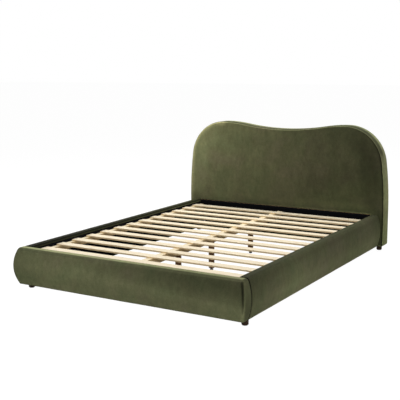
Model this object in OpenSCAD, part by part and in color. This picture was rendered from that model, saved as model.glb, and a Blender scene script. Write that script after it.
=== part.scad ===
// Upholstered double bed frame with a wave-topped headboard, in millimetres.
// X runs across the bed, Y from the foot to the head, Z up. The origin is on
// the floor, at the middle of the overall width and of the overall length.

/* [Mattress] */
// Width of the mattress that the frame is made for
mattress_w = 1400; // [900:10:1800]
// Length of the mattress
mattress_l = 2000; // [1900:10:2200]
// Gap between the mattress and each side rail
side_gap = 18; // [5:1:30]
// Gap between the mattress and the footboard, and the headboard
end_gap = 5; // [2:1:30]

/* [Rails and footboard] */
// Height of the underside of the upholstery above the floor
rail_lift = 35; // [20:1:120]
// Height of the rails and the footboard
rail_h = 230; // [200:5:320]
// Thickness of a side rail at its top and bottom edges
rail_t = 58; // [50:1:80]
// Thickness of the footboard at its top and bottom edges
foot_t = 58; // [50:1:80]
// Swell of a side rail's outer face at mid height
side_bulge = 24; // [10:1:40]
// Swell of the footboard's outer face at mid height
foot_bulge = 30; // [10:1:45]
// Radius of the outer top edges
top_r = 20; // [10:1:24]
// Radius of the inner top edges
inner_r = 14; // [6:1:20]
// Radius of the bottom edges
bottom_r = 8; // [5:1:12]
// Radius of the footboard's rounded front edges and corners
corner_r = 16; // [12:1:30]
// Thickness of the boards inside the rails and the footboard
board_t = 18; // [12:1:24]
// Padding between the top of those boards and the rail's top
top_pad = 24; // [22:1:40]
// Padding between those boards and the rail's underside
bottom_pad = 8; // [5:1:20]
// Width of the velvet turned up onto the inner faces at the bottom
hem = 11; // [10:1:20]

/* [Headboard] */
// How far the headboard stands out beyond the rails' top edges at each side
head_over = 41; // [26:1:60]
// Height of the two crests above the floor
head_h = 904; // [800:1:1100]
// Thickness of the headboard
head_t = 114; // [100:1:150]
// Radius of the big rounded shoulders
shoulder_r = 290; // [240:5:330]
// Height at which the headboard's sides begin to curve in
side_z = 300; // [200:10:400]
// Radius of the sides' slow curve below the shoulders
side_r = 2700; // [2000:100:5000]
// Radius of the crests on their inner side
crest_r = 1055; // [500:5:1500]
// Depth of the dip between the crests
dip = 43; // [20:1:60]
// Radius of the padded front edge
head_edge_r = 12; // [8:1:30]
// Radius of the back edge
back_r = 8; // [6:1:10]
// Radius of the bottom corners
head_bottom_r = 14; // [6:1:20]
// Swell of the padded front face
head_crown = 6; // [2:1:12]
// Thickness of the front padding with its cloth
pad_t = 28; // [24:1:36]
// Thickness of the padding round the edge
edge_pad = 16; // [15:1:24]
// Thickness of the plywood panel
panel_t = 12; // [9:1:18]
// Width of the two stiles of the inner frame
stile_w = 60; // [50:1:80]
// Height of the cross rails of the inner frame
cross_h = 60; // [40:1:80]
// Width of the cloth turned onto the back
back_turn = 34; // [26:1:60]

/* [Slats] */
// Number of slats
slat_n = 13; // [8:1:15]
// Distance of the first and last slats' middles from the footboard and headboard
slat_margin = 111; // [60:1:160]
// Width of a slat
slat_w = 62; // [40:1:80]
// Thickness of a slat
slat_t = 9; // [8:1:22]
// Depth of the slats' top below the rails' top
slat_drop = 27; // [15:1:60]
// Gap between a slat's end and the rail
slat_end_gap = 2; // [1:1:10]
// Width of the ledgers that carry the slats' ends
ledger_w = 30; // [24:1:45]
// Height of the ledgers
ledger_h = 35; // [25:1:50]
// Gap between a ledger's end and the footboard or headboard
ledger_end_gap = 5; // [1:1:20]

/* [Centre support] */
// Width of the centre beam
beam_w = 40; // [30:1:70]
// Height of the centre beam
beam_h = 40; // [34:1:60]
// Distance of the first centre leg from the footboard's inner face
centre_leg_first = 540; // [300:5:640]
// Distance of the middle centre leg from the footboard's inner face
centre_leg_middle = 950; // [800:5:1100]
// Distance of the last centre leg from the headboard's front face
centre_leg_last = 500; // [300:5:640]
// Diameter of a centre leg
centre_leg_d = 39; // [28:1:60]
// Diameter of a levelling foot's pad
pad_d = 24; // [18:1:28]
// Height of the pad
foot_pad_h = 6; // [4:1:8]
// Diameter of the collar above the pad
collar_d = 16; // [14:1:17]
// Height of the collar
collar_h = 7; // [4:1:10]
// Length of the stem that stays in the insert at full travel
stem_grip = 18; // [14:1:25]
// Outer diameter of the threaded insert
insert_d = 12; // [11:1:13]
// Length of the threaded insert
insert_l = 25; // [15:1:25]
// Travel of a levelling foot
foot_travel = 12; // [6:1:20]

/* [Corner legs] */
// Diameter of a corner leg
leg_d = 39; // [30:1:45]
// Height of the glide under a corner leg
glide_h = 3; // [2:1:5]
// Diameter of the glide
glide_d = 30; // [20:1:30]
// Distance of a head leg's axis from the headboard's side
head_leg_x = 44; // [42:1:60]
// Distance of a head leg's axis behind the headboard's front face
head_leg_y = 58; // [52:1:64]
// Bevel at a leg's lower edge
leg_bevel = 2; // [1:0.5:4]
// Distance of a front leg behind the plane of the footboard's inner face
front_leg_gap = 2; // [0:1:40]
// Height of the wood blocks above the front legs
block_h = 56; // [40:1:80]
// How much longer a block is than its leg's diameter
block_over = 4; // [0:1:20]

/* [Brackets and screws] */
// Length of each wing of a corner bracket
wing_l = 60; // [50:1:80]
// Height of a corner bracket
bracket_h = 100; // [80:1:110]
// Height of a corner bracket's lower edge above the rail's underside
bracket_rise = 30; // [28:1:36]
// Distance of the bolts from a bracket's corner
bolt_in = 37; // [32:1:40]
// Distance between the two bolts of a bracket's wing
bolt_spread = 50; // [40:5:60]
// Thickness of the steel in brackets and hangers
steel_t = 3; // [2:0.5:4]
// Diameter of a bracket bolt
bolt_d = 6; // [5:1:8]
// Length of a bracket bolt below its head
bolt_l = 18; // [14:1:18]
// Diameter of a bolt head
bolt_head_d = 12; // [10:1:15]
// Height of a bolt head
bolt_head_h = 4; // [3:0.5:6]
// Diameter of the studs that hold the legs, and of the levelling feet's stems
stud_d = 8; // [6:1:8]
// Length of a leg stud
stud_l = 44; // [30:1:44]
// Diameter of a wood screw
screw_d = 4; // [3:0.5:5]
// Diameter of a wood screw's head
screw_head_d = 8; // [7:0.5:9]
// Height of a wood screw's head
screw_head_h = 2.2; // [1.5:0.1:3]
// Length of wood screw in the wood that holds it
screw_bite = 14; // [8:1:14]
// Width of the plate of a beam hanger beside the beam
hanger_ear = 22; // [16:1:30]
// Length of beam that a hanger holds
hanger_depth = 40; // [20:1:60]

/* [Cloth and clearances] */
// Thickness of the velvet and of the lining
cloth_t = 1.6; // [1:0.1:2]
// Clearance at flat and wooden faces
fit = 0.3; // [0.2:0.05:0.5]
// Clearance between the padding and its cloth
soft_fit = 0.8; // [0.7:0.05:0.9]
// Radial clearance of a screw, bolt or stem in its hole
play = 0.05; // [0.03:0.01:0.1]
// Length of a hole beyond the end of the stud or bolt in it
hole_end = 1; // [0.5:0.5:2]
// Gap left round the inner pieces that stand free
free_gap = 3; // [2:0.5:5]
// Distance of the linings' upper edge below the rails' rounded inner edge
lining_drop = 1; // [1:1:20]

/* [Hidden] */
inner_w = mattress_w + 2 * side_gap;
inner_l = mattress_l + 2 * end_gap;
frame_w = inner_w + 2 * rail_t;
overall_l = foot_bulge + foot_t + inner_l + head_t;
x_in = inner_w / 2;
x_head = frame_w / 2 + head_over;
y_foot = foot_bulge - overall_l / 2;
y_in = y_foot + foot_t;
y_head = y_in + inner_l;
y_back = y_head + head_t;
y_panel = y_head + pad_t;
y_frame = y_panel + panel_t;
y_mid = (y_in + y_head) / 2;
rail_top = rail_lift + rail_h;
z_mid = rail_lift + rail_h / 2;
slat_top = rail_top - slat_drop;
slat_bottom = slat_top - slat_t;
lining_top = rail_top - inner_r - lining_drop;
lining_bottom = rail_lift + hem;
board_bottom = rail_lift + max(bottom_pad, bottom_r);
board_top = rail_top - top_pad;
skin_in = cloth_t + soft_fit;
leg_x = x_in + rail_t / 2;
leg_y = y_in + leg_d / 2 + front_leg_gap;
head_leg_xy = [x_head - head_leg_x, y_head + head_leg_y];
leg_places = [[-leg_x, leg_y], [leg_x, leg_y],
              [-head_leg_xy[0], head_leg_xy[1]], [head_leg_xy[0], head_leg_xy[1]]];
centre_leg_bottom = foot_pad_h + collar_h;
beam_bottom = slat_bottom - beam_h;
bracket_z = rail_lift + bracket_rise;
strip_bottom = rail_lift + head_edge_r + free_gap;
head_floor = rail_lift + skin_in + free_gap;
stile_floor = max(head_floor + fit, rail_lift + back_r);
stile_top = head_h - shoulder_r;
slat_pitch = (inner_l - 2 * slat_margin) / (slat_n - 1);
block_l = leg_d + block_over;
stem_l = foot_travel + stem_grip;
centre_leg_ys = [y_in + centre_leg_first, y_in + centre_leg_middle, y_head - centre_leg_last];
centre_legs = len(centre_leg_ys);
ledger_screw_n = floor(slat_n / 2);
hole_r = screw_d / 2 + play;
stud_hole_r = stud_d / 2 + play;
bolt_hole_r = bolt_d / 2 + play;
eps = 0.5;
$fn = 48;

velvet = [0.31, 0.32, 0.21];
lining = [0.05, 0.05, 0.06];
foam = [0.90, 0.86, 0.72];
pine = [0.93, 0.85, 0.68];
ply = [0.80, 0.66, 0.46];
dark_wood = [0.22, 0.13, 0.09];
black = [0.06, 0.06, 0.06];
steel = [0.70, 0.71, 0.73];

function slat_y(k) = y_in + slat_margin + k * slat_pitch;
function centre_leg_y(k) = centre_leg_ys[k - 1];

// Steps along the rounded outlines
fillet_n = 3;
arc_n = 8;
side_n = 3;
shoulder_n = 8;
crest_n = 3;
dip_n = 8;

// Radius of an arc that swells by b over the rails' height
function swell_r(b) = (pow(rail_h / 2, 2) + b * b) / (2 * b);
// How far a face that swells by b stands out at the height z
function swell(b, z) = sqrt(pow(swell_r(b), 2) - pow(z - z_mid, 2)) - swell_r(b) + b;

// Side outline of the rails from the bottom up, inset by i, with its top lowered
// and its bottom raised: pairs of the distance outward and the height
function side_outline(i, lower, raise) =
    let (r = swell_r(side_bulge) - i, cx = side_bulge - swell_r(side_bulge),
         r0 = max(bottom_r - i, 1), r1 = max(top_r - i, 1),
         z0 = rail_lift + i + raise + r0, z1 = rail_top - i - lower - r1,
         x0 = cx + sqrt(pow(r - r0, 2) - pow(z0 - z_mid, 2)),
         x1 = cx + sqrt(pow(r - r1, 2) - pow(z1 - z_mid, 2)),
         a0 = atan2(z0 - z_mid, x0 - cx), a1 = atan2(z1 - z_mid, x1 - cx))
    concat(
        [for (k = [0:fillet_n]) let (a = -90 + (a0 + 90) * k / fillet_n)
            [x0 + r0 * cos(a), z0 + r0 * sin(a)]],
        [for (k = [1:arc_n - 1]) let (a = a0 + (a1 - a0) * k / arc_n)
            [cx + r * cos(a), z_mid + r * sin(a)]],
        [for (k = [0:fillet_n]) let (a = a1 + (90 - a1) * k / fillet_n)
            [x1 + r1 * cos(a), z1 + r1 * sin(a)]]);

// Section of a side rail, inset by i: distance out from its inner face, and height
function rail_section(i) =
    let (rt = max(inner_r - i, 1), rb = max(bottom_r - i, 1))
    concat(
        [for (p = side_outline(i, 0, 0)) [rail_t + p[0], p[1]]],
        [for (k = [0:fillet_n]) let (a = 90 + 90 * k / fillet_n)
            [i + rt + rt * cos(a), rail_top - i - rt + rt * sin(a)]],
        [for (k = [0:fillet_n]) let (a = 180 + 90 * k / fillet_n)
            [i + rb + rb * cos(a), rail_lift + i + rb + rb * sin(a)]]);

// Outline of the footboard seen from the front, as points [x, z]
function foot_outline(i, lower, raise) =
    let (side = side_outline(i, lower, raise), n = len(side))
    concat([for (p = side) [frame_w / 2 + p[0], p[1]]],
           [for (k = [n - 1:-1:0]) [-frame_w / 2 - side[k][0], side[k][1]]]);
function at_y(outline, y) = [for (p = outline) [p[0], y, p[1]]];

// Rings of the footboard's surface at the depth k below the cloth's face, from
// the inner face to the front. steps is the number of steps in its front edge.
function foot_rings(k, steps) =
    let (ri = inner_r - k, rc = corner_r - k)
    concat(
        [for (s = [0:2]) let (a = 45 * s)
            at_y(foot_outline(k, ri * (1 - sin(a)), 0), y_in - k - ri * (1 - cos(a)))],
        [for (s = [0:steps]) let (a = 90 * s / steps, j = rc * (1 - cos(a)))
            [for (p = foot_outline(k + j, 0, -j * (1 - bottom_r / corner_r)))
                [p[0], y_foot + k + rc * (1 - sin(a)) - swell(foot_bulge, p[1]), p[1]]]],
        [for (j = [0.5, 0.75])
            [for (p = foot_outline(j * rail_h / 2, 0, 0))
                [p[0], y_foot + k - swell(foot_bulge, p[1]), p[1]]]],
        [at_y(foot_outline(0.92 * rail_h / 2, 0, 0), y_foot + k - foot_bulge)]);
function foot_window(gap) = foot_outline(hem - 1 + gap, rail_top - lining_top - hem + 1, 1);

// Centre of a shoulder's arc, and the angle at which the side's slow curve meets it
shoulder_z = head_h - shoulder_r;
side_x = x_head - side_r;
shoulder_x = side_x + sqrt(pow(side_r - shoulder_r, 2) - pow(shoulder_z - side_z, 2));
side_a = atan2(shoulder_z - side_z, shoulder_x - side_x);
stile_x = side_x + sqrt(pow(side_r - edge_pad - soft_fit, 2) - pow(stile_top - side_z, 2));

// Radii and angle of the headboard's wave between the two crests
wave_span = (shoulder_x * shoulder_x + dip * dip) / (2 * dip);
dip_r = wave_span - crest_r;
wave_a = atan2(shoulder_x, wave_span - dip);

// Outline of the headboard, inset by i, with its bottom edge at the height zb
function head_outline(i, zb) =
    let (rb = max(head_bottom_r - i, 1),
         right = concat(
            [for (k = [0:fillet_n]) let (a = -90 + 90 * k / fillet_n)
                [x_head - i - rb + rb * cos(a), zb + rb + rb * sin(a)]],
            [for (k = [0:side_n]) let (a = side_a * k / side_n, r = side_r - i)
                [side_x + r * cos(a), max(side_z + r * sin(a), zb + rb + (k + 1) * eps)]],
            [for (k = [1:shoulder_n])
                let (a = side_a + (90 - side_a) * k / shoulder_n, r = shoulder_r - i)
                [shoulder_x + r * cos(a), shoulder_z + r * sin(a)]],
            [for (k = [1:crest_n]) let (a = 90 + wave_a * k / crest_n, r = crest_r - i)
                [shoulder_x + r * cos(a), head_h - crest_r + r * sin(a)]]),
         n = len(right))
    concat(right,
        [for (k = [1:dip_n - 1]) let (a = wave_a * (1 - 2 * k / dip_n))
            [(dip_r + i) * sin(a), head_h - dip + dip_r - (dip_r + i) * cos(a)]],
        [for (k = [n - 1:-1:0]) [-right[k][0], right[k][1]]]);

// Rings of the crowned front: inset beyond the rounded edge, and share of the swell
crown_rings = [[14, 0], [60, 0.7], [150, 1]];

// Rings of the headboard's surface at the depth k, from the back to the front
function head_rings(k, steps) =
    let (rb = back_r - k, rf = head_edge_r - k, y0 = y_head + k)
    concat(
        [for (s = [0:2]) let (a = 90 - 45 * s, i = k + rb * (1 - cos(a)))
            at_y(head_outline(i, rail_lift + i), y_back - k - rb * (1 - sin(a)))],
        [for (s = [0:steps]) let (a = 90 * s / steps, i = k + rf * (1 - cos(a)))
            at_y(head_outline(i, rail_lift + i), y0 + rf * (1 - sin(a)))],
        [for (c = crown_rings)
            at_y(head_outline(head_edge_r + c[0], rail_top + c[0]), y0 - c[1] * head_crown)]);

// Closed solid through a list of rings, with a flat face on the first and the last.
// The quads of the first turned bands are halved along their other diagonal.
module skin(rings, turned = 0) {
    n = len(rings[0]);
    m = len(rings);
    polyhedron(
        points = [for (r = rings) each r],
        faces = concat(
            [[for (j = [0:n - 1]) j]],
            [[for (j = [n - 1:-1:0]) (m - 1) * n + j]],
            [for (i = [0:m - 2]) for (j = [0:n - 1])
                let (a = i * n + j, b = i * n + (j + 1) % n)
                each i < turned ? [[a + n, b + n, a], [b + n, b, a]]
                                : [[a + n, b + n, b], [a + n, b, a]]]));
}
function backward(list) = [for (k = [len(list) - 1:-1:0]) list[k]];

// A box from its lowest to its highest corner
module box(low, high) {
    translate(low) cube(high - low);
}
// An extrusion of a shape drawn in X and Z, from y0 to y1
module along_y(y0, y1) {
    translate([0, y1, 0]) rotate([90, 0, 0]) linear_extrude(height = y1 - y0) children();
}
// Puts a piece drawn for the right-hand side on the side given as -1 or 1
module on_side(side) {
    mirror([side < 0 ? 1 : 0, 0, 0]) children();
}
// A round piece along X, Y or Z
module rod(from, length, r, axis) {
    translate(from) rotate(axis == "x" ? [0, 90, 0] : axis == "y" ? [-90, 0, 0] : [0, 0, 0])
        cylinder(h = length, r = r);
}

// Places of the bolts in the right-hand brackets: [y of the wall, direction inwards]
bracket_ends = [[y_in, 1], [y_head, -1]];
bolt_heights = [for (s = [-1, 1]) bracket_z + (bracket_h + s * bolt_spread) / 2];
ledger_screw_ys = [for (k = [0:ledger_screw_n - 1]) slat_y(2 * k) + slat_pitch / 2];
hanger_x = beam_w / 2 + fit + steel_t + hanger_ear / 2;
hanger_z = (slat_bottom + beam_bottom) / 2;

// Holes for the leg studs, r wide, from the height z0 to z1
module stud_holes(r, z0, z1) {
    for (p = leg_places) rod([p[0], p[1], z0], z1 - z0, r, "z");
}

module headboard_panel() {
    color(ply) along_y(y_panel, y_frame) polygon(head_outline(edge_pad + fit, head_floor + fit));
}
module headboard_stile(side) {
    color(pine) on_side(side) difference() {
        box([stile_x - stile_w, y_frame, stile_floor], [stile_x, y_back - cloth_t, stile_top]);
        rod([head_leg_xy[0], head_leg_xy[1], 0], rail_lift + stud_l / 2 + hole_end, stud_hole_r, "z");
    }
}
module headboard_cross_rail(z) {
    x1 = stile_x - stile_w;
    color(pine) box([-x1, y_frame, z], [x1, y_back - cloth_t, z + cross_h]);
}
module headboard_bottom_rail() {
    headboard_cross_rail(bracket_z);
}
top_rail_z = stile_top - cross_h;
module headboard_top_rail() {
    headboard_cross_rail(top_rail_z);
}
module headboard_centre_post() {
    color(pine) box([-stile_w / 2, y_frame, top_rail_z + cross_h],
                    [stile_w / 2, y_back - cloth_t, head_h - dip - edge_pad - free_gap]);
}
// The unpadded strip of the headboard's front between the rails, grown by g
module strip(g, y0, y1) {
    box([g - x_in, y0, strip_bottom + g], [x_in - g, y1, rail_top - g]);
}
module headboard_spacer_board() {
    color(ply) difference() {
        strip(fit, y_head + cloth_t, y_panel);
        for (s = [-1, 1]) for (z = bolt_heights)
            rod([s * (x_in - bolt_in), y_head, z], bolt_l, bolt_hole_r, "y");
        for (s = [-1, 1]) rod([s * hanger_x, y_head, hanger_z], cloth_t + screw_bite, hole_r, "y");
    }
}
module headboard_front_lining() {
    color(lining) difference() {
        strip(fit, y_head, y_head + cloth_t);
        for (s = [-1, 1]) for (z = bolt_heights)
            rod([s * (x_in - bolt_in), y_head - eps, z], cloth_t + 2 * eps, bolt_hole_r, "y");
        for (s = [-1, 1])
            rod([s * hanger_x, y_head - eps, hanger_z], cloth_t + 2 * eps, hole_r, "y");
    }
}
module headboard_foam() {
    y1 = y_back - skin_in;
    color(foam) difference() {
        skin(concat([at_y(head_outline(edge_pad, head_floor), y_panel)],
                    [at_y(head_outline(edge_pad, head_floor), y1)],
                    head_rings(skin_in, 4)));
        strip(0, y_head - head_crown - eps, y_panel + eps);
        stud_holes(stud_hole_r + 1, 0, head_floor + eps);
    }
}
module headboard_cover() {
    window = head_outline(back_turn, rail_lift + back_turn);
    inside = head_rings(cloth_t, 4);
    color(velvet) difference() {
        skin(concat(backward(inside), [at_y(window, y_back - cloth_t)], [at_y(window, y_back)],
                    head_rings(0, 6)), turned = len(inside) - 1);
        strip(0, y_head - head_crown - eps, y_head + cloth_t + eps);
        stud_holes(stud_hole_r + 1, 0, rail_lift + cloth_t + eps);
    }
}
module headboard_back_lining() {
    color(lining) along_y(y_back - cloth_t, y_back)
        polygon(head_outline(back_turn + fit, rail_lift + back_turn + fit));
}

module rail_board(side) {
    color(ply) on_side(side) difference() {
        box([x_in + cloth_t, y_in + fit, board_bottom],
            [x_in + cloth_t + board_t, y_head - fit, board_top]);
        for (e = bracket_ends) for (z = bolt_heights)
            rod([x_in, e[0] + e[1] * bolt_in, z], bolt_l, bolt_hole_r, "x");
        for (y = ledger_screw_ys)
            rod([x_in, y, slat_bottom - ledger_h / 2], cloth_t + screw_bite + hole_end, hole_r, "x");
    }
}
// Room for the leg block between the rail's board and its padding, grown by g
module leg_block(g) {
    box([x_in + cloth_t + board_t, leg_y - block_l / 2 - g, rail_lift + skin_in - g],
        [x_in + rail_t - bottom_r - g / 2 + g, leg_y + block_l / 2 + g,
         rail_lift + skin_in + block_h + g]);
}
module leg_blocks() {
    color(pine) for (s = [-1, 1]) on_side(s) difference() {
        leg_block(0);
        rod([leg_x, leg_y, 0], rail_lift + stud_l / 2 + hole_end, stud_hole_r, "z");
    }
}
module rail_foam(side) {
    color(foam) on_side(side) difference() {
        translate([x_in, 0, 0]) along_y(y_in + fit, y_head - fit) difference() {
            polygon(rail_section(skin_in));
            translate([0, board_bottom]) square([cloth_t + board_t, board_top - board_bottom]);
        }
        leg_block(fit);
    }
}
module rail_cover(side) {
    color(velvet) on_side(side) difference() {
        translate([x_in, 0, 0]) along_y(y_in + fit, y_head - fit) difference() {
            polygon(rail_section(0));
            polygon(rail_section(cloth_t));
            translate([-eps, lining_bottom])
                square([cloth_t + 2 * eps, lining_top - lining_bottom]);
        }
        rod([leg_x, leg_y, 0], rail_lift + cloth_t + eps, stud_hole_r + 1, "z");
    }
}
module rail_lining(side) {
    color(lining) on_side(side) difference() {
        box([x_in, y_in + fit, lining_bottom + fit],
            [x_in + cloth_t, y_head - fit, lining_top - fit]);
        for (e = bracket_ends) for (z = bolt_heights)
            rod([x_in - eps, e[0] + e[1] * bolt_in, z], cloth_t + 2 * eps, bolt_hole_r, "x");
        for (y = ledger_screw_ys)
            rod([x_in - eps, y, slat_bottom - ledger_h / 2], cloth_t + 2 * eps, hole_r, "x");
    }
}
module slat_ledger(side) {
    color(pine) on_side(side) difference() {
        box([x_in - ledger_w, y_in + ledger_end_gap, slat_bottom - ledger_h],
            [x_in, y_head - ledger_end_gap, slat_bottom]);
        for (y = ledger_screw_ys)
            rod([x_in - ledger_w - eps, y, slat_bottom - ledger_h / 2], ledger_w + 2 * eps, hole_r, "x");
        for (k = [0:slat_n - 1])
            rod([x_in - ledger_w / 2, slat_y(k), slat_bottom - screw_bite - hole_end],
                screw_bite + 2 * hole_end, hole_r, "z");
    }
}

module footboard_board() {
    x1 = frame_w / 2 - bottom_r - cloth_t;
    color(ply) difference() {
        box([-x1, y_in - cloth_t - board_t, board_bottom], [x1, y_in - cloth_t, board_top]);
        for (s = [-1, 1]) for (z = bolt_heights)
            rod([s * (x_in - bolt_in), y_in - bolt_l, z], bolt_l, bolt_hole_r, "y");
        for (s = [-1, 1])
            rod([s * hanger_x, y_in - cloth_t - screw_bite, hanger_z], cloth_t + screw_bite, hole_r, "y");
    }
}
module footboard_foam() {
    x1 = frame_w / 2 - bottom_r - cloth_t;
    color(foam) difference() {
        skin(foot_rings(skin_in, 4));
        box([-x1, y_in - cloth_t - board_t, board_bottom], [x1, y_in + eps, board_top]);
    }
}
module footboard_cover() {
    inside = foot_rings(cloth_t, 4);
    color(velvet) skin(concat(backward(inside), [at_y(foot_window(0), y_in - cloth_t)],
                              [at_y(foot_window(0), y_in)], foot_rings(0, 5)),
                       turned = len(inside) - 1);
}
module footboard_lining() {
    color(lining) difference() {
        along_y(y_in - cloth_t, y_in) polygon(foot_window(fit));
        for (s = [-1, 1]) for (z = bolt_heights)
            rod([s * (x_in - bolt_in), y_in - cloth_t - eps, z], cloth_t + 2 * eps, bolt_hole_r, "y");
        for (s = [-1, 1])
            rod([s * hanger_x, y_in - cloth_t - eps, hanger_z], cloth_t + 2 * eps, hole_r, "y");
    }
}

module corner_brackets() {
    color(steel) for (s = [-1, 1]) on_side(s) for (e = bracket_ends) translate([x_in, e[0], 0])
        mirror([0, e[1] < 0 ? 1 : 0, 0]) difference() {
            union() {
                box([-steel_t, 0, bracket_z], [0, wing_l, bracket_z + bracket_h]);
                box([-wing_l, 0, bracket_z], [0, steel_t, bracket_z + bracket_h]);
            }
            for (z = bolt_heights) {
                rod([-steel_t - eps, bolt_in, z], steel_t + 2 * eps, bolt_hole_r, "x");
                rod([-bolt_in, -eps, z], steel_t + 2 * eps, bolt_hole_r, "y");
            }
        }
}
// A bolt along +Y with its shank from y = 0 back to its length, under a round head
module bolt() {
    rod([0, hole_end - bolt_l, 0], bolt_l - hole_end + steel_t, bolt_d / 2, "y");
    rod([0, steel_t, 0], bolt_head_h, bolt_head_d / 2, "y");
}
module bracket_bolts() {
    color(steel) for (s = [-1, 1]) on_side(s) for (e = bracket_ends) for (z = bolt_heights) {
        translate([x_in - bolt_in, e[0], z]) mirror([0, e[1] < 0 ? 1 : 0, 0]) bolt();
        translate([x_in, e[0] + e[1] * bolt_in, z]) rotate([0, 0, 90]) bolt();
    }
}

module centre_beam() {
    color(pine) difference() {
        box([-beam_w / 2, y_in + steel_t + hole_end, beam_bottom],
            [beam_w / 2, y_head - steel_t - hole_end, slat_bottom]);
        for (k = [1:centre_legs])
            rod([0, centre_leg_y(k), beam_bottom - hole_end],
                stud_l / 2 + 2 * hole_end, stud_hole_r, "z");
    }
}
module beam_hanger() {
    x1 = beam_w / 2 + fit;
    x2 = x1 + steel_t;
    difference() {
        union() {
            box([-x2 - hanger_ear, 0, beam_bottom - steel_t], [x2 + hanger_ear, steel_t, slat_bottom]);
            box([-x2, 0, beam_bottom - steel_t], [x2, hanger_depth, beam_bottom]);
            for (s = [-1, 1]) on_side(s)
                box([x1, 0, beam_bottom - steel_t], [x2, hanger_depth, slat_bottom]);
        }
        for (s = [-1, 1]) rod([s * hanger_x, -eps, hanger_z], steel_t + 2 * eps, hole_r, "y");
    }
}
module beam_hangers() {
    color(steel) for (e = bracket_ends) translate([0, e[0], 0])
        mirror([0, e[1] < 0 ? 1 : 0, 0]) beam_hanger();
}

module centre_leg(k) {
    color(dark_wood) translate([0, centre_leg_y(k), 0]) difference() {
        rotate_extrude() polygon([
            [0, centre_leg_bottom], [centre_leg_d / 2 - leg_bevel, centre_leg_bottom],
            [centre_leg_d / 2, centre_leg_bottom + leg_bevel],
            [centre_leg_d / 2, beam_bottom], [0, beam_bottom]]);
        rod([0, 0, centre_leg_bottom - eps], insert_l + eps, insert_d / 2 + play, "z");
        rod([0, 0, centre_leg_bottom], stem_l + free_gap, stud_d / 2 + eps, "z");
        rod([0, 0, beam_bottom - stud_l / 2 - hole_end], stud_l, stud_hole_r, "z");
    }
}
module leg_inserts() {
    color(steel) for (k = [1:centre_legs]) translate([0, centre_leg_y(k), 0])
        rotate_extrude() translate([stud_d / 2 + play, centre_leg_bottom])
            square([(insert_d - stud_d) / 2 - play, insert_l - play]);
}
module levelling_foot(k) {
    color(black) translate([0, centre_leg_y(k), 0]) rotate_extrude() polygon([
        [0, 0], [pad_d / 2 - 1, 0], [pad_d / 2, 1], [pad_d / 2, foot_pad_h - 1],
        [pad_d / 2 - 1, foot_pad_h], [collar_d / 2, foot_pad_h],
        [collar_d / 2, centre_leg_bottom], [stud_d / 2, centre_leg_bottom],
        [stud_d / 2, centre_leg_bottom + stem_l - 1],
        [stud_d / 2 - 1, centre_leg_bottom + stem_l], [0, centre_leg_bottom + stem_l]]);
}

module corner_leg(k) {
    color(dark_wood) translate([leg_places[k][0], leg_places[k][1], 0]) difference() {
        rotate_extrude() polygon([
            [0, glide_h], [leg_d / 2 - leg_bevel, glide_h], [leg_d / 2, glide_h + leg_bevel],
            [leg_d / 2, rail_lift], [0, rail_lift]]);
        rod([0, 0, rail_lift - stud_l / 2 - hole_end], stud_l, stud_hole_r, "z");
    }
}
module leg_glides() {
    color(black) for (p = leg_places) rod([p[0], p[1], 0], glide_h, glide_d / 2, "z");
}
module leg_studs() {
    color(steel) {
        for (p = leg_places) rod([p[0], p[1], rail_lift - stud_l / 2], stud_l, stud_d / 2, "z");
        for (k = [1:centre_legs])
            rod([0, centre_leg_y(k), beam_bottom - stud_l / 2], stud_l, stud_d / 2, "z");
    }
}

module slat(k) {
    x1 = x_in - slat_end_gap;
    color(pine) difference() {
        box([-x1, slat_y(k) - slat_w / 2, slat_bottom], [x1, slat_y(k) + slat_w / 2, slat_top]);
        for (s = [-1, 1]) {
            rod([s * (x_in - ledger_w / 2), slat_y(k), slat_bottom - 1], slat_t + 2, hole_r, "z");
            rod([s * (x_in - ledger_w / 2), slat_y(k), slat_top - screw_head_h - fit],
                screw_head_h + 1, screw_head_d / 2 + play, "z");
        }
    }
}
// A screw along +Z whose head rests at z = 0 and whose shank is l long
module wood_screw(l) {
    rod([0, 0, -l], l + eps, screw_d / 2, "z");
    rod([0, 0, 0], screw_head_h, screw_head_d / 2, "z");
}
module wood_screws() {
    color(steel) {
        for (s = [-1, 1]) on_side(s) {
            for (k = [0:slat_n - 1])
                translate([x_in - ledger_w / 2, slat_y(k), slat_top - screw_head_h - fit])
                    wood_screw(slat_t - screw_head_h - fit + screw_bite);
            for (y = ledger_screw_ys)
                translate([x_in - ledger_w, y, slat_bottom - ledger_h / 2]) rotate([0, -90, 0])
                    wood_screw(ledger_w + cloth_t + screw_bite);
            for (e = bracket_ends)
                translate([hanger_x, e[0] + e[1] * steel_t, hanger_z]) rotate([-90 * e[1], 0, 0])
                    wood_screw(steel_t + cloth_t + screw_bite - hole_end);
        }
    }
}

headboard_panel();
headboard_stile(-1);  // headboard_left_stile
headboard_stile(1);  // headboard_right_stile
headboard_bottom_rail();
headboard_top_rail();
headboard_centre_post();
headboard_spacer_board();
headboard_foam();
headboard_cover();
headboard_front_lining();
headboard_back_lining();
rail_board(-1);  // left_rail_board
rail_board(1);  // right_rail_board
rail_foam(-1);  // left_rail_foam
rail_foam(1);  // right_rail_foam
rail_cover(-1);  // left_rail_cover
rail_cover(1);  // right_rail_cover
rail_lining(-1);  // left_rail_lining
rail_lining(1);  // right_rail_lining
slat_ledger(-1);  // left_slat_ledger
slat_ledger(1);  // right_slat_ledger
leg_blocks();
footboard_board();
footboard_foam();
footboard_cover();
footboard_lining();
corner_brackets();
bracket_bolts();
centre_beam();
beam_hangers();
for (k = [1:centre_legs]) {
    centre_leg(k);
    levelling_foot(k);
}
leg_inserts();
corner_leg(0);  // front_left_leg
corner_leg(1);  // front_right_leg
corner_leg(2);  // head_left_leg
corner_leg(3);  // head_right_leg
leg_glides();
leg_studs();
wood_screws();
for (k = [1:slat_n])
    slat(k - 1);
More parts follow.
